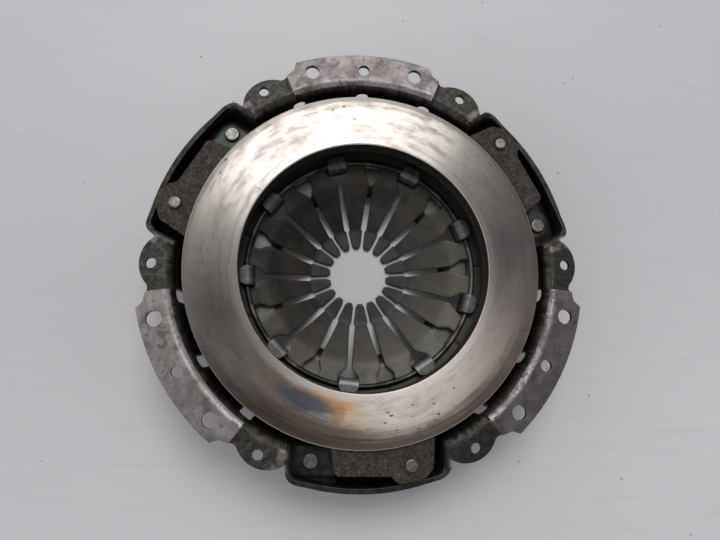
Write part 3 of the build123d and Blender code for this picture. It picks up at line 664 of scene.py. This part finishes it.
def pressed_steel(colours):
    """The cover: bare pressed steel, dull and stained, rubbed bright with a painted highlight along its
    bends, with painted shade towards +X, and dark inside with dirt and painted shade.
    """
    steel = Finish("pressed_steel", metallic=0.85)
    clouds = steel.noise(13, 5, 0.6, bend=0.5)
    spots = steel.noise(3.2, 5, 0.7, shift=5)
    scuffs = steel.noise(1, 4, 0.6, where=steel.round_the_axis(1.6, 9, at=116), shift=2)
    dull = steel.mix(steel.fade(clouds, 0.36, 0.66), colours.cover_dark, colours.cover_bright)
    dull = steel.stain(dull, (0.1, 0.08, 0.065), 0.4, steel.fade(scuffs, 0.55, 0.7))
    rust = steel.fade(steel.noise(7, 6, 0.72, shift=17), 0.6, 0.72)
    dull = steel.stain(dull, (0.07, 0.05, 0.04), 0.75, rust)
    tinge = steel.fade(steel.noise(10, 4, 0.6, shift=33), 0.42, 0.6)
    dull = steel.stain(dull, (0.25, 0.195, 0.185), 0.35, tinge)
    # Painted shade: the steel darkens towards +X and a little towards -Y, and the pale smears lie only
    # there.
    rightwards = steel.times_plus(clouds, 60, steel.times_plus(steel.y, -0.3, steel.x))
    shaded_right_side = steel.fade(rightwards, 40, 130)
    dull = steel.stain(dull, (0.075, 0.067, 0.068), 0.68, shaded_right_side)
    blotches = steel.fade(steel.noise(6, 5, 0.66, shift=51, bend=0.8), 0.52, 0.64)
    dull = steel.stain(dull, (0.05, 0.034, 0.032), 0.5, blotches)
    smears = steel.fade(steel.noise(7, 4, 0.6, shift=83, bend=0.6), 0.56, 0.66)
    dull = steel.stain(dull, (0.2, 0.175, 0.17), 0.4, smears, shaded_right_side)
    # The ears lie lower: dark scale, scraped towards bare metal near the pockets.
    ear = steel.mix(steel.fade(spots, 0.4, 0.66), (0.032, 0.03, 0.026), (0.085, 0.078, 0.07))
    upwards = steel.facing_up()
    near_pocket = steel.fade(steel.nearest_cosine(SECTORS), *np.cos(np.radians([30.5, 36.5])))
    scraped = steel.times_plus(near_pocket, 0.4, steel.noise(8, 5, 0.55, shift=29))
    scraped = steel.all_of(steel.fade(scraped, 0.82, 1.0), steel.fade(steel.z, -3.5, -2.95), upwards)
    # Painted shade: the ears also darken towards +X.
    ear = steel.stain(ear, (0.02, 0.02, 0.019), 0.55, shaded_right_side)
    ear = steel.stain(ear, (0.23, 0.205, 0.195), 0.75, scraped)
    top = steel.mix(steel.fade(steel.z, -2.2, -1.0), ear, dull)
    # The bend between the flange and the wall is rubbed bright in patches, and the pale band there is
    # also a painted highlight.
    ragged = steel.times_plus(spots, 3.0, steel.radius)
    bend = steel.all_of(steel.between(ragged, 108.2, 112.0, 1.2), steel.fade(steel.z, -3.4, -1.2))
    rubbed = steel.noise(1, 5, 0.6, where=steel.round_the_axis(3, 12, at=108), shift=13)
    broken = steel.fade(steel.noise(1.7, 4, 0.65, shift=71), 0.36, 0.56)
    rubbed = steel.all_of(steel.fade(rubbed, 0.4, 0.58), broken)
    top = steel.stain(top, (0.42, 0.39, 0.39), 0.7, bend, rubbed)
    # Inside, the walls and the mouth's lip are dark, with dirt and painted shade; near the top the shade
    # lifts in mottled, dusty patches, and the tabs and the floor are barer.
    rolled = steel.noise(1, 5, 0.62, where=steel.round_the_axis(7, 2.2, at=68))
    walls = steel.mix(steel.fade(spots, 0.4, 0.7), (0.013, 0.013, 0.011), (0.042, 0.038, 0.03))
    dust_and_light = steel.all_of(steel.fade(steel.z, -15, -4), steel.fade(rolled, 0.36, 0.62))
    walls = steel.stain(walls, (0.1, 0.085, 0.073), 0.75, dust_and_light)
    mouth = steel.math("ADD", steel.radius, steel.all_of(steel.fade(steel.z, -1.2, -2.4), -2.4))
    inside = steel.any_of(steel.fade(steel.z, -3.9, -6.0), steel.fade(mouth, 107.2, 105.4))
    colour = steel.mix(inside, top, walls)
    tabs = steel.all_of(steel.fade(steel.radius, 77, 75), steel.fade(steel.z, -32, -29))
    bent_over = steel.mix(steel.fade(rolled, 0.34, 0.66), (0.07, 0.07, 0.072), (0.14, 0.138, 0.135))
    # Painted highlight: the tabs towards -Y are lighter.
    bent_over = steel.stain(bent_over, (0.26, 0.255, 0.245), 0.55, steel.fade(steel.y, -35, -70))
    colour = steel.mix(tabs, colour, bent_over)
    ring = steel.between(steel.radius, 57.5, 82, 1.2)
    floor = steel.all_of(ring, steel.fade(steel.z, -31, -34), upwards)
    colour = steel.mix(floor, colour, steel.mix(clouds, (0.1, 0.098, 0.085), (0.24, 0.235, 0.21)))
    patchy, high = steel.fade(spots, 0.66, 0.42), steel.fade(steel.z, -16, -6)
    colour = steel.stain(colour, (0.42, 0.4, 0.38), 0.55, steel.edge_wear(0.55), patchy, high)
    roughness = steel.level(steel.any_of(bend, tabs), steel.level(clouds, 0.64, 0.5), 0.46)
    height = steel.times_plus(spots, 1.2, steel.all_of(scraped, -0.5))
    normal = steel.bump(height, 0.14, over=steel.rounded(0.55))
    return steel.finish(colour, normal, Roughness=roughness)


def spring_steel(colours):
    """The diaphragm spring: dark, peened, heat-treated steel with a brown cast, with painted light
    towards +X and -Y, and painted shade at the tips and over the rim.
    """
    steel = Finish("spring_steel", metallic=0.6)
    clouds = steel.noise(9, 5, 0.62, bend=0.5)
    peened = steel.noise(0.8, 4, 0.65)
    # Painted light: the spring is lighter towards +X and -Y.
    lit = steel.times_plus(clouds, 150, steel.math("SUBTRACT", steel.x, steel.y))
    colour = steel.mix(steel.fade(lit, -10, 190), colours.spring_dark, colours.spring_bright)
    brown = steel.fade(steel.noise(18, 3, shift=31), 0.42, 0.62)
    colour = steel.stain(colour, (0.075, 0.058, 0.047), 0.45, brown)
    # Painted shade: the finger tips are darker, hiding their reflection of the sky.
    tips = steel.fade(steel.radius, 36, 30)
    colour = steel.stain(colour, (0.014, 0.013, 0.012), 0.62, tips)
    colour = steel.stain(colour, (0.11, 0.1, 0.088), 0.35, steel.fade(peened, 0.55, 0.75))
    colour = steel.stain(colour, (0.3, 0.29, 0.27), 0.35, steel.edge_wear(0.3))
    # Painted shade: the rim outside the fulcrum is darker, where the plate's bore shades it.
    rim = steel.fade(steel.radius, 70, 72)
    colour = steel.stain(colour, (0.012, 0.012, 0.01), 0.7, rim)
    roughness = steel.level(clouds, 0.62, 0.42)
    normal = steel.bump(steel.times_plus(peened, 0.5, clouds), 0.09, over=steel.rounded(0.3))
    return steel.finish(colour, normal, Roughness=roughness)


def drawn_wire():
    """The fulcrum rings: drawn wire, smooth along its length and stained with old grease."""
    wire = Finish("drawn_wire", metallic=1.0)
    lines = wire.noise(1, 2, where=wire.round_the_axis(0.3, 30, at=69))
    stains = wire.noise(11, 4)
    colour = wire.mix(wire.fade(stains, 0.38, 0.62), (0.035, 0.033, 0.028), (0.125, 0.12, 0.112))
    roughness = wire.level(lines, 0.42, 0.55)
    return wire.finish(colour, wire.bump(lines, 0.03), Roughness=roughness)


def blued_strip():
    """The strap leaves: blued spring steel strip, greasy and green-grey, bright along its cut edges."""
    strip = Finish("blued_strip", metallic=0.75)
    clouds = strip.noise(6, 5, 0.6)
    grain = strip.noise(0.7, 3, 0.6, shift=3)
    colour = strip.mix(strip.fade(clouds, 0.34, 0.66), (0.018, 0.024, 0.022), (0.055, 0.064, 0.058))
    colour = strip.stain(colour, (0.13, 0.13, 0.12), 0.3, strip.fade(grain, 0.6, 0.75))
    colour = strip.stain(colour, (0.4, 0.4, 0.38), 0.6, strip.edge_wear(0.22))
    roughness = strip.level(clouds, 0.34, 0.52)
    normal = strip.bump(grain, 0.03, over=strip.rounded(0.2))
    return strip.finish(colour, normal, Roughness=roughness)


def pressed_rivet():
    """Rivet heads: bare steel, blotched, and darker round the rim, where the surface leans away from
    facing the flywheel.
    """
    steel = Finish("pressed_rivet", metallic=0.85)
    clouds = steel.noise(2.2, 5, 0.65)
    colour = steel.mix(steel.fade(clouds, 0.36, 0.64), (0.13, 0.12, 0.11), (0.26, 0.245, 0.23))
    parts = steel.node("SeparateXYZ", {0: steel.node("NewGeometry").outputs["Normal"]})
    edge = steel.fade(steel.math("ABSOLUTE", parts.outputs[2]), 0.95, 0.6)
    colour = steel.stain(colour, (0.06, 0.052, 0.045), 0.6, edge)
    roughness = steel.level(clouds, 0.5, 0.34)
    normal = steel.bump(clouds, 0.07, over=steel.rounded(0.5))
    return steel.finish(colour, normal, Roughness=roughness)


def painted_bench(colours):
    """The floor: a pale painted bench top with faint scuffs, patches and specks, and painted light that
    lightens it towards -Y and +X.
    """
    paint = Finish("painted_bench", roughness=0.5)
    clouds = paint.noise(110, 4, 0.6)
    rubbed = paint.vector("MULTIPLY", paint.place, (1 / 60, 1 / 5, 1))
    dragged = paint.vector("MULTIPLY", paint.place, (1 / 90, 1 / 1.2, 1))
    scuffs = paint.noise(1, 5, 0.6, where=rubbed, bend=0.4)
    scratches = paint.noise(1, 2, 0.5, where=dragged, shift=5)
    scattered = paint.fade(paint.noise(30, 2, shift=8), 0.5, 0.56)
    specks = paint.all_of(paint.fade(paint.cells(15, shift=3), 0.07, 0.035), scattered)
    # Painted light: the floor grows lighter towards -Y and +X, lifting the object's shadow there.
    painted_floor_light = paint.fade(paint.times_plus(paint.x, 0.2, paint.math("MULTIPLY", paint.y, -1)), -60, 180)
    share = paint.times_plus(painted_floor_light, 0.7, paint.math("MULTIPLY", clouds, 0.3))
    colour = paint.mix(share, colours.bench_dark, colours.bench_bright)
    colour = paint.stain(colour, (0.36, 0.35, 0.38), 0.12, paint.fade(scuffs, 0.54, 0.72))
    colour = paint.stain(colour, (0.33, 0.32, 0.35), 0.18, paint.fade(scratches, 0.66, 0.74))
    colour = paint.stain(colour, (0.14, 0.12, 0.13), 0.65, specks)
    return paint.finish(colour, paint.bump(scuffs, 0.06))


# What a user would change -------------


def colour_property(name, description, default):
    return bpy.props.FloatVectorProperty(
        name=name, description=description, subtype="COLOR", size=3, min=0, max=1, default=default
    )


class ClutchColours(bpy.types.PropertyGroup):
    """Colours of the object's own finishes."""

    plate_dark: colour_property("Plate, dull", "Turned iron where stained", (0.245, 0.213, 0.187))
    plate_bright: colour_property("Plate, clean", "Turned iron where clean", (0.43, 0.398, 0.366))
    cover_dark: colour_property("Cover, dull", "Pressed steel where stained", (0.15, 0.135, 0.13))
    cover_bright: colour_property("Cover, clean", "Pressed steel where clean", (0.31, 0.29, 0.285))
    spring_dark: colour_property("Spring, dark", "Spring steel at its darkest", (0.016, 0.017, 0.014))
    spring_bright: colour_property("Spring, light", "Spring steel at its lightest", (0.085, 0.079, 0.07))
    # Painted light: the two bench colours also carry the floor's painted light, lighter towards -Y and
    # +X.
    bench_dark: colour_property("Bench, dull", "Painted bench top where rubbed", (0.515, 0.505, 0.525))
    bench_bright: colour_property("Bench, clean", "Painted bench top where clean", (0.66, 0.645, 0.665))


class ClutchStage(bpy.types.PropertyGroup):
    """Floor, camera, lamp and sky."""

    floor_size: bpy.props.FloatProperty(
        name="Floor size", description="Length of each side of the floor", default=3.0,
        unit="LENGTH", subtype="DISTANCE",
    )
    camera_place: bpy.props.FloatVectorProperty(
        name="Camera place", description="Where the camera stands",
        default=(-0.0362079, -0.0528020, 0.2909715), unit="LENGTH", subtype="TRANSLATION",
    )
    camera_turn: bpy.props.FloatVectorProperty(
        name="Camera turn", description="How the camera is tipped from looking straight down",
        default=(0.166571, -0.107976, -0.013134), unit="ROTATION", subtype="EULER",
    )
    lens: bpy.props.FloatProperty(name="Lens", description="Focal length in millimetres", default=26.702)
    panel_power: bpy.props.FloatProperty(
        name="Panel power", description="Watts of the soft panel", default=13.0,
    )
    panel_size: bpy.props.FloatProperty(
        name="Panel size", description="Width of the soft panel", default=0.88,
        unit="LENGTH", subtype="DISTANCE",
    )
    panel_direction: bpy.props.FloatVectorProperty(
        name="Panel direction", description="Where the soft panel stands",
        default=(0.02, 0.465, 0.88), subtype="DIRECTION",
    )
    sky: bpy.props.FloatProperty(
        name="Sky", description="Strength of the light from all round, at the horizon", default=0.97,
    )


# Operators ----------------------------


def dress(material, *nodes):
    """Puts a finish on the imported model's own pieces."""
    for name in nodes:
        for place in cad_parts[name].material_slots:
            place.material = material


class CLUTCH_OT_cover(bpy.types.Operator):
    """Finish the pressed cover"""

    bl_idname = "clutch.cover"
    bl_label = "Cover"

    def execute(self, context):
        dress(pressed_steel(context.scene.clutch_colours), "cover")
        return {"FINISHED"}


class CLUTCH_OT_plate(bpy.types.Operator):
    """Finish the pressure plate"""

    bl_idname = "clutch.plate"
    bl_label = "Pressure plate"

    def execute(self, context):
        dress(turned_and_cast_iron(context.scene.clutch_colours), "pressure_plate")
        return {"FINISHED"}


class CLUTCH_OT_spring(bpy.types.Operator):
    """Make the diaphragm spring from its fingers and its rim"""

    bl_idname = "clutch.spring"
    bl_label = "Diaphragm spring"

    def execute(self, context):
        steel = spring_steel(context.scene.clutch_colours)
        grids = [spring_leaf(finger, gap_side, straight, CAP, FLAT_CAP) for finger in range(FINGERS)]
        fingers = new_piece("spring_fingers", grids, steel)
        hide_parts("diaphragm_spring")
        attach(fingers, "cover_assembly")
        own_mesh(fingers)
        for finger in range(FINGERS):
            grid = spring_leaf(finger, window_head, bowed, FLAT_CAP, CAP)
            rim = new_piece(f"spring_rim_{finger + 1:02d}", [grid], steel)
            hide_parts("diaphragm_spring")
            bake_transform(rim)
        return {"FINISHED"}


class CLUTCH_OT_rings(bpy.types.Operator):
    """Finish the two wire rings that the spring rocks on"""

    bl_idname = "clutch.rings"
    bl_label = "Fulcrum rings"

    def execute(self, context):
        dress(drawn_wire(), "fulcrum_ring_upper", "fulcrum_ring_lower")
        return {"FINISHED"}


class CLUTCH_OT_straps(bpy.types.Operator):
    """Make the leaves of the three straps"""

    bl_idname = "clutch.straps"
    bl_label = "Straps"

    def execute(self, context):
        strip = blued_strip()
        for number, pocket in enumerate(POCKETS, start=1):
            direction = np.radians(pocket + STRAP_TURN)
            for layer in range(LEAVES):
                grids = strap_leaf(layer, direction)
                leaf = new_piece(f"leaf_{number}_{layer + 1}", grids, strip)
                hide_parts(f"strap_{number}_leaf_{layer + 1}")
                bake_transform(leaf)
        return {"FINISHED"}


class CLUTCH_OT_rivets(bpy.types.Operator):
    """Finish the rivets at both ends of the straps"""

    bl_idname = "clutch.rivets"
    bl_label = "Rivets"

    def execute(self, context):
        dress(pressed_rivet(), *(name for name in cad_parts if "_rivet_" in name))
        return {"FINISHED"}


class CLUTCH_OT_stage(bpy.types.Operator):
    """Lay the floor and set the camera, the lamp and the sky"""

    bl_idname = "clutch.stage"
    bl_label = "Stage"

    def execute(self, context):
        stage = context.scene.clutch_stage
        self.lay_floor(context)
        camera = bpy.data.objects.new("camera", bpy.data.cameras.new("camera"))
        camera.data.sensor_fit = "HORIZONTAL"
        camera.data.sensor_width = SENSOR_WIDTH
        camera.data.lens = stage.lens
        camera.data.clip_start = NEAREST
        camera.location = stage.camera_place
        camera.rotation_euler = stage.camera_turn
        context.scene.collection.objects.link(camera)
        context.scene.camera = camera
        panel = bpy.data.objects.new("panel", bpy.data.lights.new("panel", "AREA"))
        panel.data.shape = "DISK"
        panel.data.size = stage.panel_size
        panel.data.energy = stage.panel_power
        panel.location = Vector(stage.panel_direction).normalized() * PANEL_DISTANCE
        panel.rotation_euler = panel.location.to_track_quat("Z", "Y").to_euler()
        context.scene.collection.objects.link(panel)
        context.scene.world = self.room(stage)
        context.scene.view_settings.view_transform = "Standard"
        return {"FINISHED"}

    def room(self, stage):
        """Light from all round, weaker overhead and on one side.

        Its strength is the product of linear steps in the cosines between a direction and each of
        SKY_STEPS' own.
        """
        world = bpy.data.worlds.new("room")
        world.use_nodes = True
        tree = world.node_tree
        direction = tree.nodes.new("ShaderNodeTexCoord").outputs["Generated"]
        strength = None
        for towards, limits in SKY_STEPS:
            share = tree.nodes.new("ShaderNodeVectorMath")
            share.operation = "DOT_PRODUCT"
            share.inputs[1].default_value = Vector(towards).normalized()
            tree.links.new(direction, share.inputs[0])
            step = tree.nodes.new("ShaderNodeMapRange")
            for name, value in zip(("From Min", "From Max", "To Min", "To Max"), limits):
                step.inputs[name].default_value = value
            tree.links.new(share.outputs["Value"], step.inputs["Value"])
            product = tree.nodes.new("ShaderNodeMath")
            product.operation = "MULTIPLY"
            product.inputs[1].default_value = stage.sky
            tree.links.new(step.outputs["Result"], product.inputs[0])
            if strength is not None:
                tree.links.new(strength, product.inputs[1])
            strength = product.outputs["Value"]
        background = tree.nodes["Background"]
        background.inputs["Color"].default_value = SKY_COLOUR
        tree.links.new(strength, background.inputs["Strength"])
        return world

    def lay_floor(self, context):
        half = context.scene.clutch_stage.floor_size / 2
        level = CAD_BOX[0][2]
        mesh = bpy.data.meshes.new("floor")
        corners = [(-half, -half, level), (half, -half, level), (half, half, level), (-half, half, level)]
        mesh.from_pydata(corners, [], [(0, 1, 2, 3)])
        mesh.materials.append(painted_bench(context.scene.clutch_colours))
        floor = bpy.data.objects.new("floor", mesh)
        context.scene.collection.objects.link(floor)


PIECES = (
    CLUTCH_OT_stage,
    CLUTCH_OT_cover,
    CLUTCH_OT_plate,
    CLUTCH_OT_spring,
    CLUTCH_OT_rings,
    CLUTCH_OT_straps,
    CLUTCH_OT_rivets,
)


class CLUTCH_PT_sidebar(bpy.types.Panel):
    """Lists the pieces and what can be changed"""

    bl_idname = "CLUTCH_PT_sidebar"
    bl_label = "Clutch Cover"
    bl_space_type = "VIEW_3D"
    bl_region_type = "UI"
    bl_category = "Clutch Cover"

    def draw(self, context):
        for operator in PIECES:
            self.layout.operator(operator.bl_idname)
        for group in (context.scene.clutch_colours, context.scene.clutch_stage):
            box = self.layout.box()
            for name in group.__annotations__:
                box.prop(group, name)


def register():
    for cls in (ClutchColours, ClutchStage, *PIECES, CLUTCH_PT_sidebar):
        bpy.utils.register_class(cls)
    bpy.types.Scene.clutch_colours = bpy.props.PointerProperty(type=ClutchColours)
    bpy.types.Scene.clutch_stage = bpy.props.PointerProperty(type=ClutchStage)


def unregister():
    del bpy.types.Scene.clutch_stage
    del bpy.types.Scene.clutch_colours
    for cls in reversed((ClutchColours, ClutchStage, *PIECES, CLUTCH_PT_sidebar)):
        bpy.utils.unregister_class(cls)


def main():
    register()
    for operator in PIECES:
        group, name = operator.bl_idname.split(".")
        getattr(getattr(bpy.ops, group), name)()


if __name__ == "__main__":
    main()
